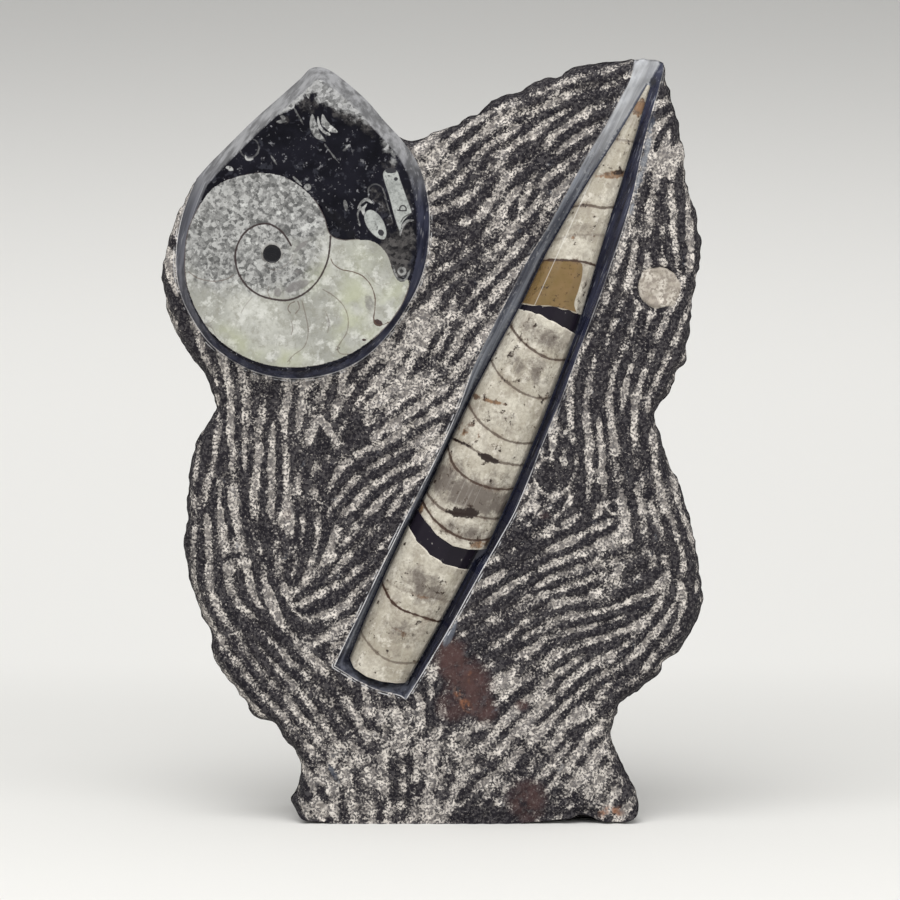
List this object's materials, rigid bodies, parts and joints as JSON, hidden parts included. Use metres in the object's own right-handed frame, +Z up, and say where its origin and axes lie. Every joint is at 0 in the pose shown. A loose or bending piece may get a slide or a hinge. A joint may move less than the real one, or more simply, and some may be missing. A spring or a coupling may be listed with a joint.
{
  "type": "orthoceras fossil",
  "caption": "Free-standing slab of black fossil limestone with a polished orthoceras in a ground trough, a cut goniatite on a raised boss and a chiselled face.",
  "frame": {"origin": "on the surface that the slab stands on, under the middle of the slab's width and depth", "axes": "+Z up; the carved face looks towards -Y; +X to the right of someone facing it"},
  "size_m": [0.2121, 0.0559, 0.3],
  "materials": {
    "black_limestone": "chiselled, with the boss and trough ground and polished",
    "orthoceras_calcite": "ground and polished cream calcite with brown stains",
    "goniatite_calcite": "cut and polished grey-white to pale green calcite",
    "shell_calcite": "cut and polished white calcite",
    "crinoid_calcite": "bruised by the chisel, dull"
  },
  "bodies": {
    "root": {"stone_slab": "black_limestone", "orthoceras_tip": "orthoceras_calcite", "orthoceras_middle": "orthoceras_calcite", "orthoceras_base": "orthoceras_calcite", "goniatite_shell": "goniatite_calcite", "small_straight_shell": "shell_calcite", "small_oval_shell": "shell_calcite", "crinoid_disc": "crinoid_calcite"}
  },
  "joints": []
}
